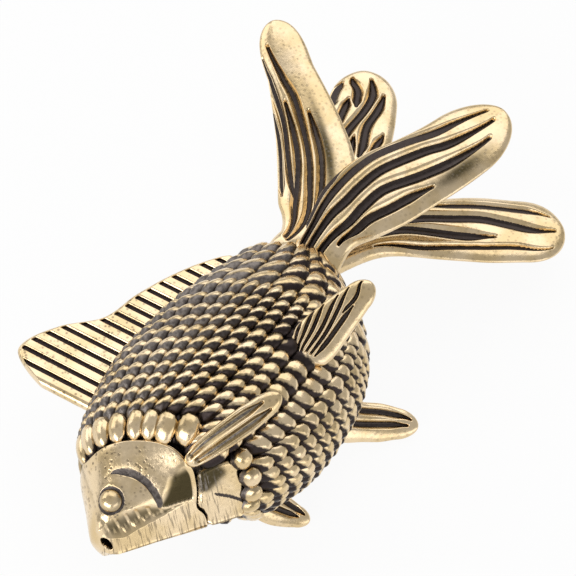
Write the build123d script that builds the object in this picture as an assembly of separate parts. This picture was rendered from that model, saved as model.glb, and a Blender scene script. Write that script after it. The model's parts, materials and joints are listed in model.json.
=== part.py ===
from build123d import *
import math
import os

# A cast brass goldfish that lies on its right side, in millimetres.
# X runs from the back to the belly, Y from the snout to the tail, Z from the right flank up to the left.
# The fish is drawn round its own mid axis and set down on its resting flat at the end.

# Trunk and head
snout_y = -21.3
body_length = 40.3
back_height = 9.4
belly_depth = 14.2
flank_half_width = 9.5

# Scale mail
trunk_front_y = -14.6
row_count = 16
scales_around = 30
scale_height = 0.5
valley_height = 0.05
root_depth = 0.2
step_length = 0.12

# Gill edge, the seam between head and trunk: an arc that bulges towards the tail
gill_y = -11.4
gill_middle_x = 1.0
gill_sagitta = 4.2
gill_half_span = 12.0
gill_lift = 0.55
spigot_radius = 4.0
spigot_length = 4.5

# Face
throat_flat = 0.8
mouth_width = 1.0
mouth_height = 1.5
mouth_depth = 2.4
eye_radius = 1.2
eye_groove = 0.22
eye_peg_radius = 0.5
eye_peg_length = 2.6
eye_y = -17.7
eye_angle = 107.0
eye_sink = 0.25
eye_seat = 0.5
brow_radius = 4.4
brow_rear_y = -14.9
brow_half_span = 2.9
brow_width = 0.8
brow_depth = 0.4
nostril_radius = 0.45
nostril_y = -19.6
nostril_angle = 112.0

# Dorsal fin
dorsal_thickness = 1.4
dorsal_front_y = -8.4
dorsal_length = 23.8
dorsal_height = 10.9
dorsal_seat = 1.7
dorsal_rim = 0.9
dorsal_ray_count = 17
dorsal_ray_depth = 0.4

# Paired fins and tail lobes
fin_half_thickness = 0.75
lobe_half_thickness = 1.1
fin_seat = 1.5
lobe_seat = 2.2
root_sink = 1.0
groove_depth = 0.45
blade_taper = 0.45

# Brazing gap round each tenon, and the ground flat under the right flank
joint_gap = 0.05
rest_proud = 0.7
rest_flat_length = 11.0
rest_flat_width = 8.0
rest_flat_y = 2.2
rest_flat_x = 2.0

# Outline of the fish along its length: share of the body's length, then the shares of the back's
# height, the belly's depth and the flank's half width that it has there.
outline = [
    (0.00, 0.13, 0.09, 0.16),
    (0.03, 0.25, 0.18, 0.32),
    (0.08, 0.40, 0.30, 0.49),
    (0.23, 0.85, 0.65, 0.82),
    (0.43, 1.00, 0.94, 1.00),
    (0.58, 0.94, 1.00, 1.01),
    (0.73, 0.79, 0.95, 0.93),
    (0.87, 0.58, 0.74, 0.71),
    (1.00, 0.42, 0.30, 0.35),
]

# Upper edge of the dorsal fin: share of its length, then the share of its height above the back.
dorsal_top = [
    (0.00, 0.81),
    (0.11, 1.00),
    (0.29, 0.79),
    (0.43, 0.51),
    (0.61, 0.45),
    (0.86, 0.33),
    (1.00, 0.19),
]

# Blades: bend and tip of the middle line, counted from the root, the way the tenon points, the way
# the broad side faces, the half widths at the shares of the length named in blade_shares, and the
# ridges over the face: the first and the last as shares of the half width, and how many.
blade_shares = [0.0, 0.3, 0.55, 0.8, 0.94, 1.0]
groove_fade = [0.0, 0.8, 1.0, 1.0, 0.6, 0.0]

# A paired fin's root is a place along the fish and an angle round it, from the belly over the left flank.
paired_fins = {
    "left_pectoral_fin": {
        "root": (-9.6, 65),
        "bend": (2.2, 3.0, 2.8),
        "tip": (5.5, 7.2, 5.4),
        "tenon": (-0.5, -0.3, -0.8),
        "faces": (0.3, -0.5, 0.8),
        "half_widths": [1.0, 1.2, 1.25, 1.1, 0.8, 0.25],
        "ridges": (-0.7, 0.7, 3),
    },
    "right_pectoral_fin": {
        "root": (-9.0, -57),
        "bend": (4.6, 3.8, -2.2),
        "tip": (8.0, 6.0, -2.8),
        "tenon": (-0.7, -0.4, 0.6),
        "faces": (0.3, -0.5, 0.8),
        "half_widths": [1.0, 1.4, 1.7, 1.4, 0.9, 0.25],
        "ridges": (-0.7, 0.7, 3),
    },
    "left_pelvic_fin": {
        "root": (6.0, 57),
        "bend": (0.4, 3.4, 2.1),
        "tip": (3.9, 7.4, 5.1),
        "tenon": (-0.3, -0.6, -0.75),
        "faces": (0.2, -0.5, 0.85),
        "half_widths": [2.2, 2.3, 2.1, 1.5, 0.95, 0.3],
        "ridges": (-0.4, 0.8, 4),
    },
    "right_pelvic_fin": {
        "root": (6.4, -45),
        "bend": (4.5, 1.6, -2.5),
        "tip": (9.0, 5.4, -3.4),
        "tenon": (-0.8, -0.3, 0.5),
        "faces": (0.2, -0.4, 0.85),
        "half_widths": [1.8, 2.0, 2.0, 1.6, 1.0, 0.3],
        "ridges": (-0.7, 0.7, 4),
    },
}

# A tail lobe's root is a quarter of the trunk's end: towards the back or the belly, right or left.
lobe_root_height = 0.43
lobe_root_side = 0.53
tail_lobes = {
    "lower_left_tail_lobe": {
        "quarter": (1, 1),
        "bend": (2.5, 7.3, 4.25),
        "tip": (11.2, 23.1, 5.25),
        "faces": (-0.1, -0.2, 1.0),
        "half_widths": [1.35, 3.5, 4.2, 4.0, 2.8, 0.8],
        "ridges": (-0.3, 0.8, 5),
    },
    "upper_left_tail_lobe": {
        "quarter": (-1, 1),
        "bend": (-1.4, 12.0, 2.25),
        "tip": (-14.3, 22.4, 4.25),
        "faces": (-0.1, -0.2, 1.0),
        "half_widths": [1.35, 3.9, 4.1, 2.8, 1.9, 0.7],
        "ridges": (-0.1, 0.85, 5),
    },
    "lower_right_tail_lobe": {
        "quarter": (1, -1),
        "bend": (5.4, 13.9, -3.25),
        "tip": (20.2, 21.2, -4.25),
        "faces": (0.1, 0.2, 1.0),
        "half_widths": [1.35, 2.6, 3.6, 3.6, 2.4, 0.7],
        "ridges": (-0.8, 0.7, 5),
    },
    "upper_right_tail_lobe": {
        "quarter": (-1, -1),
        "bend": (1.5, 15.6, -1.25),
        "tip": (-4.7, 27.8, -1.25),
        "faces": (0.0, 0.1, 1.0),
        "half_widths": [1.35, 2.8, 3.3, 3.1, 2.0, 0.7],
        "ridges": (-0.8, 0.8, 5),
    },
}

tail_root_y = snout_y + body_length
row_pitch = (tail_root_y - trunk_front_y) / row_count
gill_radius = (gill_half_span**2 + gill_sagitta**2) / (2 * gill_sagitta)
dorsal_rear_y = dorsal_front_y + dorsal_length
rest_half_width = flank_half_width + rest_proud


def smooth(table, place, column):
    """Smooth curve through one column of a table, whose first column is the place."""
    last = len(table) - 2
    i = 0
    while i < last and place > table[i + 1][0]:
        i += 1

    def slope(k):
        before = table[max(k - 1, 0)]
        after = table[min(k + 1, last + 1)]
        return (after[column] - before[column]) / (after[0] - before[0])

    start = table[i]
    end = table[i + 1]
    span = end[0] - start[0]
    t = (place - start[0]) / span
    rise = (2 * t**3 - 3 * t**2 + 1) * start[column] + (3 * t**2 - 2 * t**3) * end[column]
    return rise + span * ((t**3 - 2 * t**2 + t) * slope(i) + (t**3 - t**2) * slope(i + 1))


def back_at(y):
    return back_height * smooth(outline, (y - snout_y) / body_length, 1)


def section(y):
    """Middle, half height and half width of the fish's oval section at y."""
    share = (y - snout_y) / body_length
    back = back_at(y)
    belly = belly_depth * smooth(outline, share, 2)
    return (belly - back) / 2, (belly + back) / 2, flank_half_width * smooth(outline, share, 3)


def skin_point(y, angle, lift):
    """Point on the skin: 0 degrees is the belly, 90 the left flank, 180 the back."""
    middle, half_height, half_width = section(y)
    turn = math.radians(angle)
    return Vector(
        middle + (half_height + lift) * math.cos(turn), y, (half_width + lift) * math.sin(turn)
    )


def skin_normal(y, angle):
    along = skin_point(y + 0.2, angle, 0) - skin_point(y - 0.2, angle, 0)
    around = skin_point(y, angle + 2, 0) - skin_point(y, angle - 2, 0)
    return around.cross(along).normalized() * -1


def front_block(gap):
    """Everything ahead of the gill edge."""
    middle_y = gill_y - gill_radius
    return Pos(gill_middle_x, middle_y, 0) * Cylinder(gill_radius + gap, 4 * flank_half_width)


def scale_ring(row, shift, tip_lift, low_lift):
    """Zigzag ring along the free edges of one row: scale tips alternate with the valleys between."""
    corners = []
    for k in range(2 * scales_around):
        is_tip = (k + row) % 2 == 0
        reach = 0.25 * row_pitch if is_tip else -0.35 * row_pitch
        y = trunk_front_y + (row + 1) * row_pitch + reach + shift
        lift = tip_lift if is_tip else low_lift
        corners.append(skin_point(y, 180 * k / scales_around, lift))
    return corners


def flat_ring(y):
    return [skin_point(y, 180 * k / scales_around, -root_depth) for k in range(2 * scales_around)]


def flat_face(*corners):
    return Face(Wire.make_polygon(corners, close=True))


def band(ring, following, row):
    """Flat triangles between two rings, with an edge along the keel of each scale."""
    faces = []
    for k in range(len(ring)):
        j = (k + 1) % len(ring)
        if (k + row) % 2 == 0:
            faces.append(flat_face(ring[k], ring[j], following[k]))
            faces.append(flat_face(ring[j], following[j], following[k]))
        else:
            faces.append(flat_face(ring[k], ring[j], following[j]))
            faces.append(flat_face(ring[k], following[j], following[k]))
    return faces


def make_trunk():
    """Overlapping scale rows: each row rises from its root to its free edge, then steps down."""
    front = flat_ring(trunk_front_y - row_pitch / 2)
    faces = [flat_face(*front)]
    root = front
    for row in range(row_count - 1):
        edge = scale_ring(row, 0, scale_height, valley_height)
        foot = scale_ring(row, step_length, -root_depth, -root_depth)
        faces = faces + band(root, edge, row) + band(edge, foot, row)
        root = foot
    rear = flat_ring(tail_root_y)
    faces = faces + band(root, rear, row_count) + [flat_face(*rear)]
    pad = Pos(rest_flat_x, rest_flat_y, -rest_half_width) * extrude(
        Ellipse(rest_flat_width / 2, rest_flat_length / 2), rest_half_width / 2
    )
    return Solid(Shell(faces)) + pad


def make_spigot(gap):
    length = gill_sagitta + spigot_length + gap
    return Pos(gill_middle_x, gill_y - gill_sagitta, 0) * Rot(-90, 0, 0) * Cylinder(
        spigot_radius + gap, length, align=(Align.CENTER, Align.CENTER, Align.MIN)
    )


def eye_frame(side):
    """Plane on the skin at the eye, facing outward; side is 1 for the left and -1 for the right."""
    angle = eye_angle * side
    spot = skin_point(eye_y, angle, 0)
    outward = skin_normal(eye_y, angle)
    return Plane(origin=spot - outward * eye_sink, x_dir=(0, 1, 0), z_dir=outward)


def make_eye(side):
    """Domed bead with a flat seat and a peg."""
    wide = 4 * eye_radius
    above_seat = Box(wide, wide, wide, align=(Align.CENTER, Align.CENTER, Align.MIN))
    dome = Sphere(eye_radius) & Pos(0, 0, -eye_seat) * above_seat
    peg = Cylinder(eye_peg_radius, eye_peg_length, align=(Align.CENTER, Align.CENTER, Align.MAX))
    return eye_frame(side) * (dome + peg)


def make_eye_socket(side):
    """Well for the bead, wider by the groove round the eye, and the hole for its peg."""
    well = Pos(0, 0, -eye_seat - joint_gap) * Cylinder(
        eye_radius + eye_groove, 2 * eye_radius, align=(Align.CENTER, Align.CENTER, Align.MIN)
    )
    hole = Cylinder(
        eye_peg_radius + joint_gap,
        eye_peg_length + joint_gap,
        align=(Align.CENTER, Align.CENTER, Align.MAX),
    )
    return eye_frame(side) * (well + hole)


def head_loft(sink):
    """Smooth head from the snout to behind the gill edge, sunk below its skin by a depth."""
    stations = [snout_y, snout_y + 0.7, snout_y + 2.4, snout_y + 5.2, gill_y - 2, gill_y + 0.6]
    ovals = []
    for i, y in enumerate(stations):
        middle, half_height, half_width = section(y)
        lift = gill_lift * i / (len(stations) - 1) - sink
        sag = throat_flat / 2 if i else 0
        oval_plane = Plane(origin=(middle + sag, y, 0), x_dir=(1, 0, 0), z_dir=(0, 1, 0))
        ovals.append(oval_plane * Ellipse(half_height + sag + lift, half_width + lift))
    return loft(ovals)


def make_brow():
    """Crescent grooves behind the eyes, cut to an even depth on both sides of the head."""
    tall = 4 * flank_half_width
    ring = Cylinder(brow_radius + brow_width, tall) - Cylinder(brow_radius, tall)
    behind = Box(2 * brow_half_span, 2 * brow_radius, tall, align=(Align.CENTER, Align.MIN, Align.CENTER))
    return Pos(gill_middle_x, brow_rear_y - brow_radius, 0) * (ring & behind) - head_loft(brow_depth)


def make_head():
    head = head_loft(0) & front_block(0)

    # The underside is filed flat from the chin to the breast.
    chin = skin_point(snout_y + 0.9, 0, 0)
    breast = skin_point(gill_y - 1, 0, 0)
    throat = Plane(origin=chin, x_dir=(0, 0, 1), z_dir=(breast - chin).cross(Vector(0, 0, 1)))
    head = head - throat * Box(40, 60, 10, align=(Align.CENTER, Align.CENTER, Align.MIN))

    mouth_plane = Plane(origin=(0, snout_y - 1, 0), x_dir=(1, 0, 0), z_dir=(0, 1, 0))
    head = head - mouth_plane * extrude(Ellipse(mouth_width / 2, mouth_height / 2), mouth_depth + 1)
    head = head - make_brow()
    for side in (1, -1):
        head = head + Pos(skin_point(nostril_y, nostril_angle * side, 0)) * Sphere(nostril_radius)
        head = head - make_eye_socket(side)
    return head + make_spigot(0)


def dorsal_rise(y):
    """Height of the dorsal fin's edge above the back."""
    return dorsal_height * smooth(dorsal_top, (y - dorsal_front_y) / dorsal_length, 1)


def make_dorsal_plate(grow):
    """Flat plate in the mid plane, seated in the back; grow widens it into its slot."""
    edge = []
    for share, height in dorsal_top:
        y = dorsal_front_y + share * dorsal_length
        edge.append((-back_at(y) - dorsal_height * height, y))
    root = []
    for share in (0, 0.25, 0.5, 0.75, 1):
        y = dorsal_front_y + share * dorsal_length
        root.append((dorsal_seat + grow - back_at(y), y))
    for line in (edge, root):
        line[0] = (line[0][0], dorsal_front_y - grow)
        line[-1] = (line[-1][0], dorsal_rear_y + grow)
    top = Spline(*edge)
    foot = Spline(*root)
    face = make_face([foot, Line(foot @ 1, top @ 1), top, Line(top @ 0, foot @ 0)])
    return extrude(face, dorsal_thickness / 2 + grow, both=True)


def make_dorsal_fin():
    """Plate with straight ray grooves on both sides that stop short of its rim."""
    bar_side = dorsal_ray_depth * math.sqrt(2)
    pitch = (dorsal_length - 2 * dorsal_rim) / dorsal_ray_count
    rays = []
    for i in range(dorsal_ray_count):
        y = dorsal_front_y + dorsal_rim + pitch * (i + 0.5)
        foot = back_at(y) + scale_height
        length = dorsal_rise(y) - dorsal_rim - scale_height
        bar = Rot(45, 0, 0) * Box(length, bar_side, bar_side)
        for side in (1, -1):
            rays.append(Pos(-foot - length / 2, y, side * dorsal_thickness / 2) * bar)
    return make_dorsal_plate(0) - rays


def fin_root(fin):
    y, angle = fin["root"]
    return skin_point(y, angle, -root_sink)


def lobe_root(lobe):
    middle, half_height, half_width = section(tail_root_y)
    below, left = lobe["quarter"]
    x = middle + below * lobe_root_height * half_height
    return Vector(x, tail_root_y, left * lobe_root_side * half_width)


def blade_ring(blade, spot, along, sideways, half_width, half_thickness, depth):
    """Section of a blade: ridges and valleys over its broad side, and the same underneath."""
    outward = along.cross(sideways).normalized()
    first, last, count = blade["ridges"]
    places = []
    for i in range(2 * count - 1):
        u = first + (last - first) * i / (2 * count - 2)
        valley = depth * (i % 2)
        places.append((u, half_thickness * math.sqrt(1 - u**2) - valley))
    over = [spot + sideways * (u * half_width) + outward * height for u, height in places]
    under = [spot + sideways * (u * half_width) - outward * height for u, height in places]
    left_edge = spot - sideways * half_width
    right_edge = spot + sideways * half_width
    return Wire.make_polygon([left_edge] + over + [right_edge] + under[::-1], close=True)


def make_blade(blade, root, inward, half_thickness, seat, grow):
    """Ridged blade with a plain tenon at its root; grow widens it into its socket."""
    bend = root + Vector(*blade["bend"])
    tip = root + Vector(*blade["tip"])
    faces = Vector(*blade["faces"])
    sideways = faces.cross(bend - root).normalized()
    across = (sideways - inward * sideways.dot(inward)).normalized()
    tenon_spot = root + inward * (seat + grow)
    half_width = blade["half_widths"][0] + grow
    rings = [blade_ring(blade, tenon_spot, inward * -1, across, half_width, half_thickness + grow, 0)]
    for share, half_width, fade in zip(blade_shares, blade["half_widths"], groove_fade):
        spot = root * (1 - share) ** 2 + bend * (2 * share * (1 - share)) + tip * share**2
        along = ((bend - root) * (1 - share) + (tip - bend) * share).normalized()
        sideways = faces.cross(along).normalized()
        thickness = half_thickness * (1 - blade_taper * share)
        if share == 1:
            thickness = thickness / 2
        depth = groove_depth * fade * thickness / half_thickness
        rings.append(blade_ring(blade, spot, along, sideways, half_width + grow, thickness + grow, depth))
    return Solid.make_loft(rings)


nodes = {}
sockets = [front_block(joint_gap), make_spigot(joint_gap), make_dorsal_plate(joint_gap)]

nodes["head"] = make_head()
nodes["left_eye"] = make_eye(1)
nodes["right_eye"] = make_eye(-1)
nodes["dorsal_fin"] = make_dorsal_fin()
for name, fin in paired_fins.items():
    inward = Vector(*fin["tenon"]).normalized()
    nodes[name] = make_blade(fin, fin_root(fin), inward, fin_half_thickness, fin_seat, 0)
    sockets.append(make_blade(fin, fin_root(fin), inward, fin_half_thickness, fin_seat, joint_gap))
for name, lobe in tail_lobes.items():
    inward = Vector(0, -1, 0)
    nodes[name] = make_blade(lobe, lobe_root(lobe), inward, lobe_half_thickness, lobe_seat, 0)
    sockets.append(make_blade(lobe, lobe_root(lobe), inward, lobe_half_thickness, lobe_seat, joint_gap))
nodes["body"] = make_trunk() - sockets

# Set down on the resting flat, with the origin under the middle of the whole fish.
box = Compound([shape.solid() for shape in nodes.values()]).bounding_box()
set_down = Pos(-box.center().X, -box.center().Y, -box.min.Z)
os.makedirs("parts", exist_ok=True)
for name, shape in nodes.items():
    export_step(set_down * shape.solid(), f"parts/{name}.step")
    print(name, round(shape.volume, 2))
flat_spot = set_down * Pos(rest_flat_x, rest_flat_y, -rest_half_width)
print("resting flat at", flat_spot.position)
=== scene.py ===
import json
import math

import bpy
import numpy as np
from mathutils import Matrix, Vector


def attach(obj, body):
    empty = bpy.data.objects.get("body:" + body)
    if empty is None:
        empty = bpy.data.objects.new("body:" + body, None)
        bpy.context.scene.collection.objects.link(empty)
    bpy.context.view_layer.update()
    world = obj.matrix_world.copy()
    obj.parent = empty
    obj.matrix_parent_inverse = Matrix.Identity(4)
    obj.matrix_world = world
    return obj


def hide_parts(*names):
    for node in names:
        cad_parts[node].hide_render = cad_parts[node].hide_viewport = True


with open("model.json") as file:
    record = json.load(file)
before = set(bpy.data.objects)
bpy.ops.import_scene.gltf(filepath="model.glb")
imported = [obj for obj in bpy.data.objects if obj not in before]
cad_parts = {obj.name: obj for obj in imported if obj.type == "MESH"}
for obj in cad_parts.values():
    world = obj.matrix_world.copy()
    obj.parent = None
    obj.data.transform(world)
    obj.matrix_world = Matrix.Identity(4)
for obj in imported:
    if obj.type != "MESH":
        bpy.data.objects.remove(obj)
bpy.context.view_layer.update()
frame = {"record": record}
bpy.ops.object.select_all(action="DESELECT")
print("frame loaded")

# The fish is drawn in millimetres round its own mid axis: x back to belly, y snout to tail,
# z right to left. Angles go round it from the belly (0) over the left flank (90) to the back (180).
fish = {
    "snoutY": -21.3,
    "length": 40.3,
    "backHeight": 9.4,
    "bellyDepth": 14.2,
    "halfWidth": 9.5,
    "keel": 0.36,
    "restSpot": (2.0, 2.2, -10.2),
    # share of the length, then back, belly and width as shares of the sizes above
    "shares": [0.00, 0.03, 0.08, 0.23, 0.43, 0.58, 0.73, 0.87, 1.00],
    "back": [0.13, 0.25, 0.40, 0.85, 1.00, 0.94, 0.79, 0.58, 0.42],
    "belly": [0.09, 0.18, 0.30, 0.65, 0.94, 1.00, 0.95, 0.74, 0.30],
    "width": [0.16, 0.32, 0.49, 0.82, 1.00, 1.01, 0.93, 0.71, 0.35],
    # gill edge: angle and where the head ends there
    "gillAngles": [0, 20, 34, 53, 62, 78, 90, 104, 119, 142, 180],
    "gillY": [-13.9, -13.7, -13.7, -12.2, -11.5, -11.0, -11.3, -12.2, -13.3, -14.7, -15.8],
}
restAt = np.array(frame["record"]["mounts"][0]["pos_m"]) * 1000
drawingShift = restAt - np.array(fish["restSpot"])


def curveThrough(places, values, at):
    places = np.asarray(places, float)
    values = np.asarray(values, float)
    at = np.clip(at, places[0], places[-1])
    last = len(places) - 1
    order = np.arange(last + 1)
    before = np.maximum(order - 1, 0)
    after = np.minimum(order + 1, last)
    slope = (values[after] - values[before]) / (places[after] - places[before])
    i = np.clip(np.searchsorted(places, at) - 1, 0, last - 1)
    span = places[i + 1] - places[i]
    t = (at - places[i]) / span
    rise = (2 * t**3 - 3 * t**2 + 1) * values[i] + (3 * t**2 - 2 * t**3) * values[i + 1]
    return rise + span * ((t**3 - 2 * t**2 + t) * slope[i] + (t**3 - t**2) * slope[i + 1])


def ease(low, high, value):
    t = np.clip((value - low) / (high - low), 0, 1)
    return t * t * (3 - 2 * t)


def skin(y, angle, lift=0.0):
    share = (y - fish["snoutY"]) / fish["length"]
    back = fish["backHeight"] * curveThrough(fish["shares"], fish["back"], share)
    belly = fish["bellyDepth"] * curveThrough(fish["shares"], fish["belly"], share)
    wide = fish["halfWidth"] * curveThrough(fish["shares"], fish["width"], share)
    # the head narrows towards the throat
    keel = fish["keel"] * (1 - ease(-14.0, -8.5, y)) * ease(-21.2, -18.5, y)
    lower = 1 - ease(38, 125, np.abs((np.asarray(angle) + 180) % 360 - 180))
    turn = np.radians(angle)
    x = (belly - back) / 2 + ((belly + back) / 2 + lift) * np.cos(turn)
    z = (wide + lift) * np.sin(turn) * (1 - keel * lower)
    return np.stack([x, y + 0 * turn, z], axis=-1)


def skinNormal(y, angle):
    along = skin(y + 0.15, angle) - skin(y - 0.15, angle)
    around = skin(y, angle + 1.5) - skin(y, angle - 1.5)
    normal = np.cross(along, around)
    return normal / np.linalg.norm(normal, axis=-1, keepdims=True)


def gillEdge(angle):
    turn = np.abs((np.asarray(angle) + 180) % 360 - 180)
    return curveThrough(fish["gillAngles"], fish["gillY"], turn)


def readPoints(obj):
    flat = np.empty(len(obj.data.vertices) * 3)
    obj.data.vertices.foreach_get("co", flat)
    return flat.reshape(-1, 3)


def writePoints(obj, points):
    placed = (points + drawingShift) / 1000
    obj.data.vertices.foreach_set("co", placed.ravel())
    obj.data.update()


def setRub(obj, rub, pits=0.0, scratches=0.0, paintedReflection=0.0):
    # how far each spot is rubbed bright, pitted and scratched, and how much painted reflection it
    # gets: a grey sheen on dark, a dark olive reflection on bright
    layer = obj.data.attributes.new("rub", "FLOAT_COLOR", "POINT")
    colours = np.zeros((len(obj.data.vertices), 4))
    for i, values in enumerate((rub, pits, scratches, paintedReflection)):
        colours[:, i] = np.clip(values, 0, 1)
    layer.data.foreach_set("color", colours.ravel())


def newBall(segments, rings):
    bpy.ops.mesh.primitive_uv_sphere_add(segments=segments, ring_count=rings, radius=1)
    ball = bpy.context.object
    unit = readPoints(ball)
    share = np.arccos(np.clip(unit[:, 2], -1, 1)) / math.pi
    turn = np.degrees(np.arctan2(unit[:, 1], unit[:, 0]))
    return ball, share, turn


def newSheet(across, along):
    bpy.ops.mesh.primitive_grid_add(x_subdivisions=across, y_subdivisions=along, size=2)
    sheet = bpy.context.object
    return sheet, readPoints(sheet)


def joinPieces(pieces):
    bpy.ops.object.select_all(action="DESELECT")
    for piece in pieces:
        piece.select_set(True)
    bpy.context.view_layer.objects.active = pieces[0]
    bpy.ops.object.join()
    return bpy.context.object


def closeMesh(obj, mergeMm, fillEnds=False):
    bpy.ops.object.select_all(action="DESELECT")
    obj.select_set(True)
    bpy.context.view_layer.objects.active = obj
    bpy.ops.object.mode_set(mode="EDIT")
    bpy.ops.mesh.select_all(action="SELECT")
    if mergeMm > 0:
        bpy.ops.mesh.remove_doubles(threshold=mergeMm / 1000)
    if fillEnds:
        bpy.ops.mesh.fill_holes(sides=0)
    bpy.ops.mesh.select_all(action="SELECT")
    bpy.ops.mesh.normals_make_consistent(inside=False)
    bpy.ops.object.mode_set(mode="OBJECT")
    bpy.ops.object.shade_smooth()


def finishPiece(obj, name, material):
    obj.name = name + "_cast"
    obj.data.name = obj.name
    obj.data.materials.clear()
    obj.data.materials.append(material)
    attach(obj, "root")
    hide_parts(name)
    obj.select_set(False)
    print("made", obj.name, len(obj.data.polygons), "faces")


# Antique brass: bright where it is rubbed, near black in every hollow
finish = {
    "brass": (0.88, 0.70, 0.46, 1),
    "brassWarm": (0.74, 0.56, 0.31, 1),
    # dark olive of the painted dark reflection on bright brass
    "darkReflection": (0.060, 0.047, 0.022, 1),
    "patina": (0.034, 0.025, 0.024, 1),
    # grey of the painted sheen on dark patina
    "patinaSheen": (0.40, 0.355, 0.32, 1),
    "grainScale": 2600,
    "cloudScale": 300,
    "pitScale": 2000,
    # file marks on the throat: turned with its keel, closely spaced along it and long across it
    "scratchTurn": 50.2,
    "scratchPitch": (0.00020, 1.0, 0.0022),
}


def makeFinishGroup():
    group = bpy.data.node_groups.new("antiqueRub", "ShaderNodeTree")
    sockets = group.interface
    sockets.new_socket("Rub", in_out="INPUT", socket_type="NodeSocketColor")
    sockets.new_socket("PaintedReflection", in_out="INPUT", socket_type="NodeSocketFloat")
    sockets.new_socket("Place", in_out="INPUT", socket_type="NodeSocketVector")
    sockets.new_socket("Colour", in_out="OUTPUT", socket_type="NodeSocketColor")
    sockets.new_socket("Roughness", in_out="OUTPUT", socket_type="NodeSocketFloat")
    sockets.new_socket("Height", in_out="OUTPUT", socket_type="NodeSocketFloat")
    nodes = group.nodes
    links = group.links

    def add(kind, **settings):
        node = nodes.new(kind)
        for key, value in settings.items():
            setattr(node, key, value)
        return node

    def link(source, target):
        links.new(source, target)

    def maths(operation, first, second=None):
        node = add("ShaderNodeMath", operation=operation)
        for i, value in enumerate((first, second)):
            if value is None:
                continue
            if isinstance(value, (int, float)):
                node.inputs[i].default_value = value
            else:
                link(value, node.inputs[i])
        return node.outputs[0]

    def band(value, low, high, toLow=0.0, toHigh=1.0):
        node = add("ShaderNodeMapRange", interpolation_type="SMOOTHSTEP")
        link(value, node.inputs["Value"])
        node.inputs["From Min"].default_value = low
        node.inputs["From Max"].default_value = high
        node.inputs["To Min"].default_value = toLow
        node.inputs["To Max"].default_value = toHigh
        return node.outputs["Result"]

    def mixColour(share, first, second):
        node = add("ShaderNodeMix", data_type="RGBA")
        link(share, node.inputs[0])
        for i, value in ((6, first), (7, second)):
            if isinstance(value, tuple):
                node.inputs[i].default_value = value
            else:
                link(value, node.inputs[i])
        return node.outputs[2]

    def noiseAt(scale, detail, vector):
        node = add("ShaderNodeTexNoise")
        node.inputs["Scale"].default_value = scale
        node.inputs["Detail"].default_value = detail
        link(vector, node.inputs["Vector"])
        return node.outputs["Fac"]

    inlet = add("NodeGroupInput")
    outlet = add("NodeGroupOutput")
    place = inlet.outputs["Place"]
    parts = add("ShaderNodeSeparateColor")
    link(inlet.outputs["Rub"], parts.inputs[0])
    rub, pitted, filed = parts.outputs

    grain = noiseAt(finish["grainScale"], 4, place)
    clouds = noiseAt(finish["cloudScale"], 3, place)

    # rubbed bright above a ragged line
    ragged = maths("ADD", rub, maths("MULTIPLY", maths("SUBTRACT", grain, 0.5), 0.30))
    bright = band(ragged, 0.40, 0.60)

    # small casting pits
    cells = add("ShaderNodeTexVoronoi")
    cells.inputs["Scale"].default_value = finish["pitScale"]
    link(place, cells.inputs["Vector"])
    pitShape = band(cells.outputs["Distance"], 0.16, 0.42, 1.0, 0.0)
    chosen = band(clouds, 0.30, 0.55)
    pits = maths("MULTIPLY", maths("MULTIPLY", pitShape, chosen), pitted)

    # file scratches run from side to side
    stretch = add("ShaderNodeMapping", vector_type="TEXTURE")
    stretch.inputs["Rotation"].default_value = (0, 0, math.radians(finish["scratchTurn"]))
    stretch.inputs["Scale"].default_value = finish["scratchPitch"]
    link(place, stretch.inputs["Vector"])
    scratchNoise = noiseAt(1.0, 2, stretch.outputs[0])
    scratches = maths("MULTIPLY", band(scratchNoise, 0.52, 0.62), filed)

    hollow = maths("MAXIMUM", maths("MULTIPLY", pits, 0.7), maths("MULTIPLY", scratches, 0.55))
    shine = maths("MULTIPLY", bright, maths("SUBTRACT", 1.0, hollow))
    brass = mixColour(band(clouds, 0.35, 0.65), finish["brass"], finish["brassWarm"])
    # painted reflection: bright brass is darkened towards dark olive, dark patina is lightened towards
    # a grey sheen
    brass = mixColour(band(inlet.outputs["PaintedReflection"], 0.0, 1.0), brass, finish["darkReflection"])
    sheenShare = maths("MULTIPLY", inlet.outputs["PaintedReflection"], band(grain, 0.30, 0.70, 0.45, 1.0))
    patina = mixColour(sheenShare, finish["patina"], finish["patinaSheen"])
    link(mixColour(shine, patina, brass), outlet.inputs["Colour"])

    roughBright = band(grain, 0.3, 0.7, 0.15, 0.28)
    roughDark = band(grain, 0.3, 0.7, 0.32, 0.48)
    mixRough = add("ShaderNodeMix", data_type="FLOAT")
    link(shine, mixRough.inputs[0])
    link(roughDark, mixRough.inputs[2])
    link(roughBright, mixRough.inputs[3])
    link(mixRough.outputs[0], outlet.inputs["Roughness"])

    height = maths("ADD", maths("MULTIPLY", bright, 0.25), maths("MULTIPLY", grain, 0.22))
    height = maths("ADD", height, maths("MULTIPLY", clouds, 0.5))
    height = maths("SUBTRACT", height, maths("MULTIPLY", hollow, 0.5))
    link(height, outlet.inputs["Height"])
    return group


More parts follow.
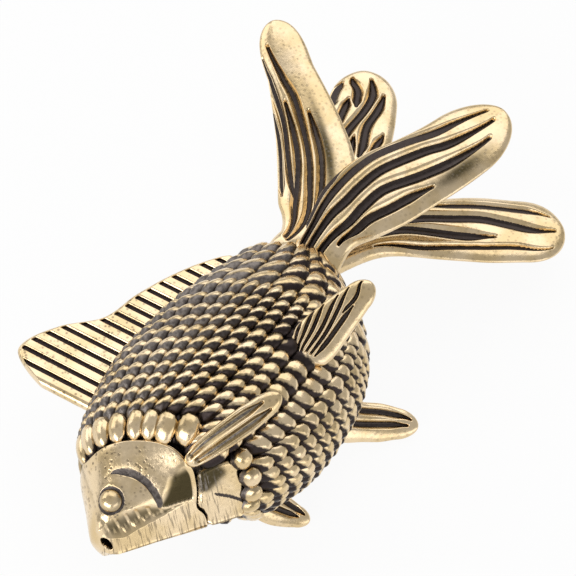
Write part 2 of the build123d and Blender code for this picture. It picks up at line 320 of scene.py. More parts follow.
def makeBrass(name, group, bumpStrength):
    material = bpy.data.materials.new(name)
    material.use_nodes = True
    nodes = material.node_tree.nodes
    links = material.node_tree.links
    shader = nodes["Principled BSDF"]
    shader.inputs["Metallic"].default_value = 1.0
    rub = nodes.new("ShaderNodeAttribute")
    rub.attribute_name = "rub"
    place = nodes.new("ShaderNodeTexCoord")
    mix = nodes.new("ShaderNodeGroup")
    mix.node_tree = group
    bump = nodes.new("ShaderNodeBump")
    bump.inputs["Strength"].default_value = bumpStrength
    bump.inputs["Distance"].default_value = 0.0001
    links.new(rub.outputs["Color"], mix.inputs["Rub"])
    links.new(rub.outputs["Alpha"], mix.inputs["PaintedReflection"])
    links.new(place.outputs["Object"], mix.inputs["Place"])
    links.new(mix.outputs["Colour"], shader.inputs["Base Color"])
    links.new(mix.outputs["Roughness"], shader.inputs["Roughness"])
    links.new(mix.outputs["Height"], bump.inputs["Height"])
    links.new(bump.outputs["Normal"], shader.inputs["Normal"])
    return material


finishGroup = makeFinishGroup()
headBrass = makeBrass("headBrass", finishGroup, 0.45)
scaleBrass = makeBrass("scaleBrass", finishGroup, 0.35)
finBrass = makeBrass("finBrass", finishGroup, 0.40)
print("finishes made")

# Head: forehead, gill covers, filed throat and blind mouth
head = {
    "segments": 320,
    "rings": 230,
    "snoutShare": 0.12,
    "rimShare": 0.86,
    "snoutRound": 0.5,
    "gillLift": 0.55,
    "gillRoll": 0.30,
    "throatPoint": (5.11, -16.53),
    "throatNormal": (0.662, -0.552, 0.506),
    # hollow cheek band above the throat: its upper and lower edges along the keel
    "bandAlong": [-15.7, -13.9, -12.5, -11.2, -10.3, -9.3, -7.7, -5.8],
    "bandTop": [3.50, 3.82, 3.84, 3.80, 3.60, 2.98, 2.93, 2.84],
    "bandLow": [1.90, 1.45, 1.76, 2.00, 2.15, 2.35, 2.73, 2.80],
    "bandDepth": 0.20,
    "keelAlong": (0.64, 0.768),
    "ripple": 1.15,
    "rippleShare": 0.22,
    # patch of painted dark reflection on a shallow dent: its top edge (angle) and front edge (y) ahead
    # of the gill edge
    "reflectionPatchTop": (62, -3.7),
    "reflectionPatchFront": (-2.25, -0.12),
    "reflectionPatchDepth": 0.14,
    "eyeY": -17.85,
    "eyeAngle": 105.5,
    "eyeRadius": 1.2,
    "eyeTrench": 0.05,
    "browCentre": (1.0, -19.3),
    "browRadius": 4.8,
    "browWidth": 1.0,
    "browX": (-2.6, 4.0),
    "browDepth": 0.16,
    "nostril": (-0.5, -20.45, 2.75),
    "nostrilReach": 0.5,
    "nostrilHeight": 0.35,
    "mouth": (0.41, -21.0, 1.28),
    "mouthAlong": (0.585, -0.035, -0.81),
    "mouthInto": (-0.2, 0.85, -0.45),
    "mouthSize": (0.40, 0.88),
    "mouthDepth": 1.1,
    # the wall behind the gill edge folds in towards this spot
    "foldCentre": (1.0, -15.5, 0.0),
}


def pressThroat(points, offset, softness):
    # everything past the two throat planes, which meet in a keel, is pushed back onto them
    px, py = head["throatPoint"]
    nx, ny, nz = head["throatNormal"]
    sideSign = np.tanh(points[:, 2] / 0.25)
    past = (points[:, 0] - px) * nx + (points[:, 1] - py) * ny + np.abs(points[:, 2]) * nz - offset
    pushed = softness * np.log1p(np.exp(np.clip(past / softness, -40, 40)))
    points[:, 0] -= pushed * nx
    points[:, 1] -= pushed * ny
    points[:, 2] -= pushed * nz * sideSign
    return past


def sideDistance(points, spot):
    # distance to a spot and to its mirror image on the other side
    away = np.stack([points[:, 0], points[:, 1], np.abs(points[:, 2])], axis=-1) - np.array(spot)
    return np.linalg.norm(away, axis=1)


def makeHead():
    ball, share, turn = newBall(head["segments"], head["rings"])
    edge = gillEdge(turn)
    snout = np.clip(share / head["snoutShare"], 0, 1)
    side = np.clip((share - head["snoutShare"]) / (head["rimShare"] - head["snoutShare"]), 0, 1)
    inside = np.clip((share - head["rimShare"]) / (1 - head["rimShare"]), 0, 1)
    firstY = fish["snoutY"] + head["snoutRound"]
    y = firstY + (edge - firstY) * side
    y = y - head["snoutRound"] * np.cos(snout * math.pi / 2)
    lift = head["gillLift"] * ease(-4.5, -0.4, y - edge)
    lift = lift - head["gillRoll"] * ease(-0.4, 0.0, y - edge) ** 2
    points = skin(y, turn, lift)
    middle = skin(y, turn * 0, lift) * 0.5 + skin(y, turn * 0 + 180, lift) * 0.5
    normal = skinNormal(np.maximum(y, firstY), turn)
    rub = np.ones(len(y))

    # crescent groove behind the eye: a sharp step on the eye's side that fades outwards
    cx, cy = head["browCentre"]
    reach = np.hypot(points[:, 0] - cx, points[:, 1] - cy) - head["browRadius"]
    low, high = head["browX"]
    ends = ease(low, low + 2.2, points[:, 0]) * (1 - ease(high - 0.5, high, points[:, 0]))
    ends = ends * ease(-0.5, 0.5, points[:, 1] - cy - 1.0)
    wide = head["browWidth"] * (0.25 + 0.75 * ends)
    inner = -wide / 2
    crescent = ease(inner - 0.12, inner + 0.05, reach) * (1 - ease(inner, wide / 2 + 0.3, reach))
    groove = ease(inner - 0.10, inner + 0.02, reach) * (1 - ease(0.0, wide * 0.85, reach))
    groove = groove * ease(0.02, 0.25, ends)
    fade = np.clip((reach + wide / 2) / wide, 0, 1)
    rub = rub - groove * (0.80 - 0.35 * fade)

    # ring round the eye with painted shade spread round it, nostril, and the polished patch in front
    # of the gill edge, a shallow dent with a painted dark reflection
    turned = np.abs(turn)
    eyeSpot = skin(np.array([head["eyeY"]]), np.array([head["eyeAngle"]]))[0]
    eyeAway = sideDistance(points, eyeSpot)
    eyeRadius = head["eyeRadius"]
    ring = 1 - ease(eyeRadius, eyeRadius + 0.45, eyeAway)
    rub = rub - 0.85 * (1 - ease(eyeRadius + 0.05, eyeRadius + 0.55, eyeAway))
    shade = 0.25 * (1 - ease(eyeRadius + 0.2, eyeRadius + 1.1, eyeAway))
    bump = np.exp(-((sideDistance(points, head["nostril"]) / head["nostrilReach"]) ** 2))
    behind = y - edge
    topAngle, topSlope = head["reflectionPatchTop"]
    frontY, frontSlope = head["reflectionPatchFront"]
    reflectionPatch = 1 - ease(-2, 6, turned - topAngle - topSlope * (behind + 0.1))
    reflectionPatch = reflectionPatch * ease(-0.5, 0.9, behind - frontY - frontSlope * (70 - turned))
    reflectionPatch = reflectionPatch * (1 - ease(-0.65, -0.45, behind))
    moved = head["nostrilHeight"] * bump - head["eyeTrench"] * ring
    moved = moved - head["browDepth"] * crescent * ends
    points = points + normal * moved[:, None]
    past = pressThroat(points, 0.0, 0.07)

    # a rippled hollow band lies between the cheek and the flat throat
    keelX, keelY = head["keelAlong"]
    along = keelX * points[:, 0] + keelY * points[:, 1]
    top = curveThrough(head["bandAlong"], head["bandTop"], along)
    low = curveThrough(head["bandAlong"], head["bandLow"], along)
    height = np.abs(points[:, 2])
    across = np.clip((height - low) / np.maximum(top - low, 0.05), 0, 1)
    hollow = np.sin(math.pi * across) ** 0.8
    hollow = hollow * ease(-16.2, -15.2, along) * (1 - ease(-7.6, -6.0, along))
    wave = np.sin(2 * math.pi * (along + 0.25 * height) / head["ripple"])
    depth = head["bandDepth"] * (top - low) * hollow * (1 + head["rippleShare"] * wave)
    nx, ny, nz = head["throatNormal"]
    inward = np.stack([0 * along + nx, 0 * along + ny, nz * np.sign(points[:, 2])], axis=-1)
    above = height - top
    reflectionPatch = reflectionPatch * ease(0.10, 0.25, above + 0.06 * np.sin(9 * along) * np.sin(23 * along))
    points = points - inward * depth[:, None] - normal * (head["reflectionPatchDepth"] * reflectionPatch)[:, None]
    filed = ease(-0.3, 0.1, past) * (1 - ease(-0.15, 0.10, height - low))

    # round the snout and open the mouth
    swell = np.sin(snout * math.pi / 2)
    points = middle + (points - middle) * swell[:, None]
    sideways, lengthwise = head["mouthSize"]
    longAxis = np.array(head["mouthAlong"])
    into = np.array(head["mouthInto"])
    fromMouth = points - np.array(head["mouth"])
    shortAxis = np.cross(into, longAxis)
    hole = np.hypot(fromMouth @ shortAxis / sideways, fromMouth @ longAxis / lengthwise)
    opened = (1 - ease(0.75, 1.1, hole)) * (np.linalg.norm(fromMouth, axis=1) < 1.4)
    points = points + np.outer(head["mouthDepth"] * opened, into)
    rub = rub - 1.4 * opened

    # behind the gill edge the wall folds in and closes
    fold = 1 - 0.3 * ease(0.0, 0.3, inside) - 0.7 * ease(0.3, 1.0, inside)
    centre = np.array(head["foldCentre"])
    folded = centre + (points - centre) * fold[:, None]
    folded[:, 1] = points[:, 1] + (centre[1] - points[:, 1]) * ease(0.3, 1.0, inside)
    points = np.where(inside[:, None] > 0, folded, points)
    rub = rub - 0.9 * ease(0.0, 0.05, inside)

    pits = ease(62, 80, turned) * (1 - filed) * ease(-20.2, -18.5, y)
    # painted dark reflection: light in the crescent groove, strong on the patch, and in the hollow
    # cheek band, lighter on its ripple crests
    darkReflection = np.maximum(0.35 * groove, 0.95 * reflectionPatch)
    darkReflection = np.maximum(darkReflection, 0.75 * hollow * (1 - 0.6 * ease(0.4, 1.0, wave)))
    writePoints(ball, points)
    setRub(ball, rub, pits, filed, np.maximum(darkReflection, shade))
    closeMesh(ball, 0)
    finishPiece(ball, "head", headBrass)


makeHead()

# Eyes: domed beads in their rings
eye = {"segments": 40, "rings": 24, "dome": 1.0, "sink": 0.30, "pegDepth": 1.2}


def makeEye(name, sideSign):
    ball, share, turn = newBall(eye["segments"], eye["rings"])
    where = np.array([head["eyeY"]]), np.array([head["eyeAngle"] * sideSign])
    spot = skin(*where)[0]
    outward = skinNormal(*where)[0]
    along = np.array([0.0, 1.0, 0.0])
    along = along - outward * np.dot(along, outward)
    along = along / np.linalg.norm(along)
    across = np.cross(outward, along)
    polar = share * math.pi
    flat = head["eyeRadius"] * np.sin(polar) ** 0.9
    rise = np.cos(polar)
    rise = np.where(rise > 0, eye["dome"] * rise, eye["pegDepth"] * rise) - eye["sink"]
    turnRad = np.radians(turn)
    points = spot + np.outer(flat * np.cos(turnRad), along)
    points = points + np.outer(flat * np.sin(turnRad), across)
    points = points + np.outer(rise, outward)
    writePoints(ball, points)
    # painted dark reflection on the eye bead, stronger on its low sides
    setRub(ball, ease(-0.4, 0.1, rise), 0.2, 0.0, 0.50 - 0.38 * ease(0.2, 0.65, rise))
    closeMesh(ball, 0)
    finishPiece(ball, name, headBrass)


makeEye("left_eye", 1)
makeEye("right_eye", -1)

# Trunk: dark skin, breast plate behind the throat, and the mail of scales on it
trunk = {
    "segments": 240,
    "rings": 190,
    "frontY": -16.8,
    "rearY": 19.4,
    "roundY": 16.4,
    "skinLift": -0.3,
    "gillTuck": 0.6,
    "throatTuck": -0.75,
    "plateLift": 0.45,
    "plateFront": 0.9,
    # rear end of the breast plate round the belly, and its upper edge from front to rear
    "plateAngles": [0, 18, 35, 55],
    "plateRearY": [-10.5, -9.7, -9.0, -8.8],
    "plateFrontAngle": 59,
    "plateRearAngle": 49,
    "seamStart": (-12.3, 39),
    "seamSlope": -13.2,
    "seamWidth": 3.2,
    "seamDepth": 0.35,
    "padSize": (4.0, 5.5),
    "padDepth": 2.2,
}

# Rows of scales: where each row crosses the flank, and how much it slants towards the head
# on its way over the back. Columns: their angles, and the slant there. Towards the tail the
# columns are fewer.
mail = {
    "segments": 12,
    "rings": 8,
    "rowY": [-10.2, -8.55, -6.9, -5.27, -3.58, -1.99, -0.47, 1.23, 2.94, 4.7, 6.2, 7.7, 9.2],
    "rowFan": [1, 1, 1, 1, 1, 1, 1, 1, 1, 1, 0.9, 0.75, 0.55],
    "angles": [
        5, 15, 24, 33.5, 45.5, 58.5, 69.5, 77.2, 85.6, 93.3,
        100.4, 107.5, 114.5, 122.5, 132, 142, 152, 161, 169, 176,
    ],
    "slant": [
        1.6, 1.5, 1.35, 1.53, 0.76, 1.05, 0.88, 0.51, 0.0, -0.58,
        -1.17, -1.85, -2.43, -2.95, -3.37, -3.9, -4.4, -4.75, -5.0, -5.15,
    ],
    "tailRowY": [11.2, 13.3, 15.3, 17.0],
    "tailAngles": [8, 24.5, 41, 57, 73.5, 90, 106.5, 123, 139, 155.5, 172],
    "tailFan": 0.5,
    "shareOfGap": 0.315,
    "wander": 0.06,
    # rows start this far behind the breast plate, the gill edge and the collar
    "clearPlate": 1.25,
    "clearGill": 1.3,
    "clearCollar": 3.3,
    "height": 1.15,
    "rootDrop": 0.35,
    "bellyDrop": 0.30,
    "overlap": 0.88,
    "depth": 0.75,
    # how far a cap leans to one side, and where its bright part starts
    "capLean": 0.22,
    "capStart": -0.10,
    "edgeDark": 0.7,
    # painted grey sheen on the dark parts of the caps over the back
    "backSheen": 0.62,
    # large polished domes behind the gill and the breast plate: angle, y, half width, half length
    "collar": [
        (79.6, -8.9, 7.2, 1.6), (90.4, -9.8, 6.8, 1.6), (99.4, -10.2, 5.6, 1.55),
        (108, -10.75, 6.0, 1.55), (119.6, -11.6, 7.4, 1.55), (134, -12.2, 8.8, 1.55),
        (150, -12.8, 8.8, 1.55), (165, -13.3, 8.8, 1.55), (44, -7.9, 6.4, 0.95),
        (29, -8.4, 6.6, 0.9), (16, -9.1, 5.9, 0.85), (5, -9.7, 5.4, 0.85),
    ],
    "collarHeight": 1.3,
    "collarLean": 3.0,
    # painted shade round the roots of the pelvic fins: middle, reach
    "finRootShade": [((7.3, 5.4, 8.7), 2.0), ((10.5, 6.6, -5.5), 1.6)],
    "finRootShadeStrength": 0.7,
}


def plateRear(angle):
    return curveThrough(trunk["plateAngles"], trunk["plateRearY"], np.abs(angle))


def makeTrunkSkin():
    ball, share, turn = newBall(trunk["segments"], trunk["rings"])
    turned = np.abs(turn)
    y = trunk["frontY"] + (trunk["rearY"] - trunk["frontY"]) * share
    behind = y - gillEdge(turn)
    lift = trunk["skinLift"] - trunk["gillTuck"] * (1 - ease(0.0, 1.4, behind))
    edge = np.interp(y, (-11.2, -9.3), (trunk["plateFrontAngle"], trunk["plateRearAngle"]))
    plate = 1 - ease(edge - 5, edge, turned)
    plate = plate * ease(0.25, 0.50, behind) * (1 - ease(-0.45, 0.0, y - plateRear(turn)))
    seamY, seamAngle = trunk["seamStart"]
    fromSeam = turned - seamAngle - trunk["seamSlope"] * (y - seamY)
    seam = np.exp(-((fromSeam / trunk["seamWidth"]) ** 2)) * ease(-12.6, -11.6, y)
    lift = lift + plate * (trunk["plateLift"] - trunk["skinLift"])
    lift = lift - trunk["seamDepth"] * plate * seam
    points = skin(y, turn, lift)
    past = pressThroat(points, trunk["throatTuck"] + trunk["plateFront"] * plate, 0.10)
    rub = ease(0.35, 0.85, plate) * (1 - 0.9 * seam)
    # painted dark reflection on the breast plate above its seam, and a faint one everywhere
    aboveSeam = ease(0.0, 6.0, fromSeam) * (1 - ease(-10.4, -9.7, y)) * ease(36, 44, turned)
    darkReflection = 0.12 + 0.8 * plate * aboveSeam
    middle = skin(y, turn * 0) * 0.5 + skin(y, turn * 0 + 180) * 0.5
    gone = np.clip((y - trunk["roundY"]) / (trunk["rearY"] - trunk["roundY"]), 0, 1)
    start = np.clip(share * trunk["rings"], 0, 1)
    points = middle + (points - middle) * (np.sqrt(1 - gone**2) * start)[:, None]
    filed = plate * ease(-0.4, 0.1, past) * (1 - ease(-11.6, -10.6, y))
    writePoints(ball, points)
    setRub(ball, rub, 0.3 * plate, filed, darkReflection)
    return ball


def slantAt(angle):
    return curveThrough(mail["angles"], mail["slant"], np.abs(angle))


def scalePlaces():
    # y, angle, half width in degrees, half length, height, how smoothly polished
    places = []

    def addRows(angles, rowY, fans):
        for i, angle in enumerate(angles):
            gapLow = angle - angles[i - 1] if i else 10.0
            gapHigh = angles[i + 1] - angle if i + 1 < len(angles) else 10.0
            half = mail["shareOfGap"] * (gapLow + gapHigh)
            for k, acrossFlank in enumerate(rowY):
                pitch = rowY[k + 1] - acrossFlank if k + 1 < len(rowY) else 2.0
                y = acrossFlank + fans[k] * float(slantAt(np.array([angle]))[0])
                y = y + mail["wander"] * math.sin(12.9 * k + 7.1 * i)
                free = gillEdge(angle) + mail["clearGill"]
                if angle < 51:
                    free = plateRear(angle) + mail["clearPlate"]
                if angle > 72:
                    free = gillEdge(angle) + mail["clearCollar"]
                if y > float(free):
                    places.append((y, angle, half, mail["overlap"] * pitch, mail["height"], 0.0))

    addRows(mail["angles"], mail["rowY"], mail["rowFan"])
    addRows(mail["tailAngles"], mail["tailRowY"], [mail["tailFan"]] * len(mail["tailRowY"]))
    for angle, y, half, long in mail["collar"]:
        places.append((y, angle, half, long, mail["collarHeight"], 1.0))
    return places + [(y, -angle, *rest) for y, angle, *rest in places]


def makeMail():
    places = scalePlaces()
    dome = newBall(mail["segments"], mail["rings"])[0]
    bpy.ops.object.mode_set(mode="EDIT")
    bpy.ops.mesh.select_all(action="SELECT")
    bpy.ops.mesh.bisect(plane_co=(0, 0, -0.05), plane_no=(0, 0, 1), use_fill=True, clear_inner=True)
    bpy.ops.object.mode_set(mode="OBJECT")
    unit = readPoints(dome)
    copies = dome.modifiers.new("copies", "ARRAY")
    copies.count = len(places)
    copies.use_relative_offset = False
    copies.use_constant_offset = True
    copies.constant_offset_displace = (3, 0, 0)
    bpy.ops.object.modifier_apply(modifier="copies")
    a = unit[:, 0]
    b = unit[:, 1]
    rise = np.clip(unit[:, 2], 0, 1)
    sunk = unit[:, 2] < -0.01
    # the polished ones are squarer than round
    square = np.hypot(a, b) / np.maximum(np.abs(a) ** 3 + np.abs(b) ** 3, 1e-6) ** (1 / 3)
    square = np.clip(square, 1, 1.2)
    points = []
    rubs = []
    paintedReflections = []
    for y, angle, half, long, high, polish in places:
        back = np.sign(angle)
        spread = square if polish else 1.0
        turned = angle + a * half * spread + mail["collarLean"] * polish * b * back
        slanted = 0 * a if polish else slantAt(turned) - slantAt(np.array([angle]))
        at = y + b * long * spread + slanted
        # each scale climbs steeply from its root to a ridge and is a half-moon cap behind it
        leaning = mail["capLean"] * a * back
        climb = 0.35 + 0.65 * ease(-0.80, -0.05, b)
        tilt = 1.0 + 0 * b if polish else climb * (1 - leaning)
        bellySide = 1 - ease(40, 58, abs(angle))
        lift = high * rise**0.6 * tilt - mail["rootDrop"] - mail["bellyDrop"] * bellySide
        lift = np.where(sunk, -mail["depth"], lift)
        spots = skin(at, turned, lift)
        spots[:, 2] = np.maximum(spots[:, 2], fish["restSpot"][2])
        points.append(spots)
        dorsalSide = ease(92, 118, abs(angle))
        boundary = mail["capStart"] - 1.5 * polish
        rub = np.minimum(0.5 + b - boundary + leaning, 0.85)
        outline = np.maximum(0.35 + 0.65 * ease(0.1, 0.6, b), max(bellySide, polish))
        rub = rub - mail["edgeDark"] * outline * (1 - ease(0.12, 0.52, rise))
        # painted shade on the scales near the pelvic fin roots
        for middle, reach in mail["finRootShade"]:
            away = np.linalg.norm(spots - np.array(middle), axis=1)
            rub = rub - mail["finRootShadeStrength"] * np.exp(-((away / reach) ** 2))
        rubs.append(np.where(sunk, 0, rub))
        # painted grey sheen on the back's caps, and painted dark reflection on one side of each
        # polished collar dome
        sheen = mail["backSheen"] * dorsalSide * ease(0.45, 0.75, rise) * (1 - ease(0.50, 0.62, rub))
        paintedReflections.append(0.03 + sheen + 0.45 * polish * ease(-0.1, 0.8, a * back))
    writePoints(dome, np.concatenate(points))
    setRub(dome, np.concatenate(rubs), 0.35, 0.0, np.concatenate(paintedReflections))
    return dome


def makePad():
    # ground flat under the right flank
    x, y, z = fish["restSpot"]
    wide, long = trunk["padSize"]
    bpy.ops.mesh.primitive_cylinder_add(vertices=72, radius=1, depth=1)
    pad = bpy.context.object
    unit = readPoints(pad)
    upward = z + trunk["padDepth"] * (unit[:, 2] + 0.5)
    points = np.stack([x + wide * unit[:, 0], y + long * unit[:, 1], upward], axis=-1)
    writePoints(pad, points)
    setRub(pad, unit[:, 2] < 0, 0.3)
    return pad


def makeTrunk():
    body = joinPieces([makeTrunkSkin(), makeMail(), makePad()])
    closeMesh(body, 0)
    bpy.ops.object.shade_smooth_by_angle(angle=math.radians(60))
    finishPiece(body, "body", scaleBrass)


makeTrunk()

# Dorsal fin: flat plate with straight rays that stop short of a smooth rim
dorsal = {
    "across": 320,
    "along": 110,
    "halfThickness": 0.72,
    "frontY": -8.4,
    "length": 23.8,
    "height": 10.9,
    "topShares": [0.00, 0.11, 0.29, 0.43, 0.61, 0.86, 1.00],
    "top": [0.81, 1.00, 0.79, 0.51, 0.45, 0.33, 0.19],
    "rays": 17,
    "rayWidth": 0.25,
    "rayDepth": 0.35,
    "rim": 0.50,
    "edgeRoll": 0.65,
    "frontCorner": 3.0,
    "rearCorner": (1.2, 0.8),
    "seat": 1.6,
    "seamMm": 0.004,
}


def makeDorsal():
    sides = []
    for sideSign in (1, -1):
        sheet, unit = newSheet(dorsal["across"], dorsal["along"])
        s = (unit[:, 0] * (1.25 - 0.25 * unit[:, 0] ** 2) + 1) / 2
        t = (unit[:, 1] + 1) / 2
        t = 1 - (1 - t) ** 2
        y = dorsal["frontY"] + dorsal["length"] * s
        share = (y - fish["snoutY"]) / fish["length"]
        back = fish["backHeight"] * curveThrough(fish["shares"], fish["back"], share)
        tall = dorsal["height"] * curveThrough(dorsal["topShares"], dorsal["top"], s)
        front = np.clip(s * dorsal["length"] / dorsal["frontCorner"], 0, 1)
        rearLong, rearDrop = dorsal["rearCorner"]
        rear = np.clip((1 - s) * dorsal["length"] / rearLong, 0, 1)
        tall = tall - dorsal["frontCorner"] * (1 - np.sqrt(1 - (1 - front) ** 2))
        tall = tall - rearDrop * (1 - np.sqrt(1 - (1 - rear) ** 2))
        high = -dorsal["seat"] + (tall + dorsal["seat"]) * t
        fromTop = tall - high
        fromEnds = np.minimum(s, 1 - s) * dorsal["length"]
        inward = np.minimum(fromTop, fromEnds)
        roll = np.clip(inward / dorsal["edgeRoll"], 0, 1)
        thick = dorsal["halfThickness"] * np.sqrt(1 - (1 - roll) ** 2)
        pitch = dorsal["length"] / dorsal["rays"]
        across = (s * dorsal["rays"] + 0.45) % 1.0 - 0.5
        away = np.abs(across) * pitch
        ray = 1 - ease(dorsal["rayWidth"] * 0.65, dorsal["rayWidth"] * 1.25, away)
        ray = ray * ease(dorsal["rim"] * 0.8, dorsal["rim"] * 1.25, fromTop) * ease(0.7, 1.1, fromEnds)
        thick = np.maximum(thick - dorsal["rayDepth"] * ray, 0)
        points = np.stack([-(back + high), y, sideSign * thick], axis=-1)
        rub = (1 - ray) * (0.35 + 0.65 * ease(0.1, 0.9, high))
        writePoints(sheet, points)
        setRub(sheet, rub, 0.75 * (1 - ray))
        sides.append(sheet)
    fin = joinPieces(sides)
    closeMesh(fin, dorsal["seamMm"], fillEnds=True)
    finishPiece(fin, "dorsal_fin", finBrass)


makeDorsal()

# Blades: the middle line as four control points, the way the broad side faces, half widths at the
# shares of the length, how blunt the tip is, and grooves: half width, then (u, v) marks, with u
# across from belly (-1) to back (1) and v from root to tip.
bladeShares = [0, 0.1, 0.25, 0.45, 0.65, 0.82]
bladeForm = {"thinning": 0.30, "edgePower": 2.3, "thinnest": 0.2, "seamMm": 0.004}

lowerLeftLobe = {
    "line": [(1.92, 19, 1.76), (1.33, 28.16, 4.6), (8.5, 28.96, 6.0), (11.61, 42.54, 7.0)],
    "halfWidths": [2.9, 3.05, 4.3, 4.9, 4.55, 4.3],
    "tipPower": 2.1,
    "faces": (-0.1, -0.2, 1.0),
    "halfThickness": 1.25,
    "start": -0.10,
    "grooveDepth": 0.75,
    "darkShare": 0.94,
    # spot of painted dark reflection: u, v, and its reach in u and v
    "paintedShadeSpot": (-0.64, 0.76, 0.20, 0.12),
    "grooves": [
        (0.34, [(0.93, 0.04), (0.92, 0.14), (0.93, 0.26), (0.97, 0.34)]),
        (0.52, [(0.66, 0.02), (0.66, 0.20), (0.70, 0.30), (0.77, 0.40), (0.83, 0.52),
                (0.80, 0.66), (0.64, 0.78), (0.50, 0.89), (0.38, 0.96)]),
        (0.58, [(0.33, 0.00), (0.28, 0.16), (0.23, 0.26), (0.30, 0.36), (0.40, 0.50),
                (0.33, 0.69), (0.15, 0.79), (0.0, 0.89), (-0.12, 0.95)]),
        (0.60, [(-0.10, 0.00), (-0.24, 0.12), (-0.28, 0.20), (-0.17, 0.32), (-0.07, 0.45),
                (-0.20, 0.62), (-0.30, 0.74), (-0.38, 0.84), (-0.44, 0.90)]),
        (0.52, [(-0.60, 0.08), (-0.60, 0.17), (-0.52, 0.29), (-0.54, 0.42), (-0.55, 0.54),
                (-0.62, 0.64)]),
    ],
}

upperLeftLobe = {
    "line": [(-1.9, 19.5, 0.85), (1.65, 25.75, 1.65), (-7.55, 33.1, 3.5), (-16.53, 41.25, 6.0)],
    "halfWidths": [1.7, 3.0, 4.19, 4.33, 3.53, 2.65],
    "tipPower": 3.2,
    "faces": (-0.1, -0.2, 1.0),
    "halfThickness": 1.2,
    "start": -0.10,
    "rootRound": 0.14,
    "grooveDepth": 0.65,
    "darkShare": 0.60,
    # spot of painted shade along a soft valley: u, v, and its reach in u and v
    "paintedShadeSpot": (-0.38, 0.48, 0.14, 0.24),
    "grooves": [
        (0.34, [(0.88, 0.30), (0.90, 0.39), (0.90, 0.57), (0.98, 0.70)]),
        (0.40, [(0.55, 0.28), (0.66, 0.42), (0.70, 0.52), (0.70, 0.66), (0.78, 0.74),
                (0.90, 0.82), (0.95, 0.89)]),
        (0.48, [(0.30, 0.00), (0.50, 0.19), (0.50, 0.36), (0.43, 0.51), (0.45, 0.61), (0.50, 0.72)]),
        (0.45, [(0.02, 0.00), (0.10, 0.18), (0.18, 0.36), (0.15, 0.49), (0.15, 0.66),
                (0.18, 0.74), (0.38, 0.81), (0.60, 0.92)]),
        (0.42, [(-0.20, 0.12), (-0.10, 0.28), (-0.13, 0.40), (-0.17, 0.49), (-0.17, 0.66)]),
    ],
}

upperRightLobe = {
    "line": [(-1.61, 19, -1.76), (-1.02, 29.21, -2.6), (-2.71, 38.88, -3.0), (-7.47, 46.16, -3.0)],
    "halfWidths": [1.41, 2.29, 3.07, 3.67, 3.98, 3.91],
    "tipPower": 2.0,
    "faces": (0.0, 0.1, 1.0),
    "halfThickness": 1.15,
    "start": -0.10,
    "grooveDepth": 0.65,
    "darkShare": 0.84,
    "grooves": [
        (0.45, [(0.88, 0.78), (0.86, 0.86), (0.80, 0.93)]),
        (0.48, [(0.18, 0.79), (0.18, 0.83), (0.20, 0.89), (0.48, 0.95)]),
        (0.48, [(0.64, 0.66), (0.55, 0.75), (0.43, 0.83)]),
        (0.55, [(0.30, 0.58), (0.28, 0.66), (-0.05, 0.77), (-0.27, 0.86), (-0.30, 0.94)]),
        (0.55, [(-0.25, 0.54), (-0.25, 0.59), (-0.22, 0.70), (-0.42, 0.78), (-0.60, 0.86)]),
        (0.40, [(-0.58, 0.50), (-0.60, 0.61), (-0.72, 0.67)]),
        (0.40, [(0.00, 0.43), (0.03, 0.55), (0.07, 0.63)]),
        (0.40, [(0.30, 0.15), (0.35, 0.35), (0.40, 0.50)]),
        (0.40, [(-0.35, 0.15), (-0.35, 0.35), (-0.45, 0.48)]),
    ],
}

lowerRightLobe = {
    "line": [(1.92, 19, -1.76), (3.84, 31.42, -3.6), (15.02, 34.81, -5.2), (21.62, 40.04, -6.0)],
    "halfWidths": [1.31, 1.81, 2.35, 3.95, 4.59, 4.36],
    "tipPower": 2.2,
    "faces": (0.1, 0.2, 1.0),
    "halfThickness": 1.2,
    "start": -0.10,
    "grooveDepth": 0.65,
    "darkShare": 0.90,
    "grooves": [
        (0.42, [(0.72, 0.46), (0.68, 0.55), (0.65, 0.67), (0.62, 0.77), (0.58, 0.85), (0.50, 0.94)]),
        (0.60, [(0.45, 0.26), (0.33, 0.44), (0.25, 0.54), (0.23, 0.66), (0.10, 0.76),
                (-0.05, 0.86), (-0.12, 0.95)]),
        (0.60, [(0.25, 0.16), (0.05, 0.33), (-0.17, 0.45), (-0.30, 0.56), (-0.33, 0.70)]),
        (0.30, [(-0.55, 0.22), (-0.72, 0.38), (-0.68, 0.52), (-0.64, 0.65), (-0.62, 0.78),
                (-0.75, 0.93)]),
    ],
}

leftPelvic = {
    "line": [(8.58, 4.64, 8.09), (9.23, 6.97, 9.4), (10.22, 10.12, 10.6), (11.53, 13.31, 12.0)],
    "halfWidths": [2.1, 2.4, 2.45, 2.2, 1.9, 1.55],
    "tipPower": 1.7,
    "faces": (0.2, -0.5, 0.85),
    "halfThickness": 0.85,
    "start": -0.08,
    "rootRound": 0.14,
    "grooveDepth": 0.34,
    "darkShare": 0.82,
    "grooves": [
        (0.18, [(0.62, 0.00), (0.80, 0.12), (0.97, 0.24)]),
        (0.18, [(0.44, -0.02), (0.56, 0.16), (0.97, 0.41)]),
        (0.18, [(0.22, -0.02), (0.42, 0.27), (0.93, 0.53)]),
        (0.18, [(0.00, 0.00), (0.20, 0.36), (0.85, 0.69)]),
        (0.18, [(-0.20, 0.05), (-0.07, 0.36), (0.30, 0.61), (0.86, 0.81)]),
        (0.18, [(-0.02, 0.60), (0.12, 0.81), (0.80, 0.94)]),
        (0.24, [(-0.40, 0.06), (-0.34, 0.40), (-0.16, 0.72)]),
    ],
}

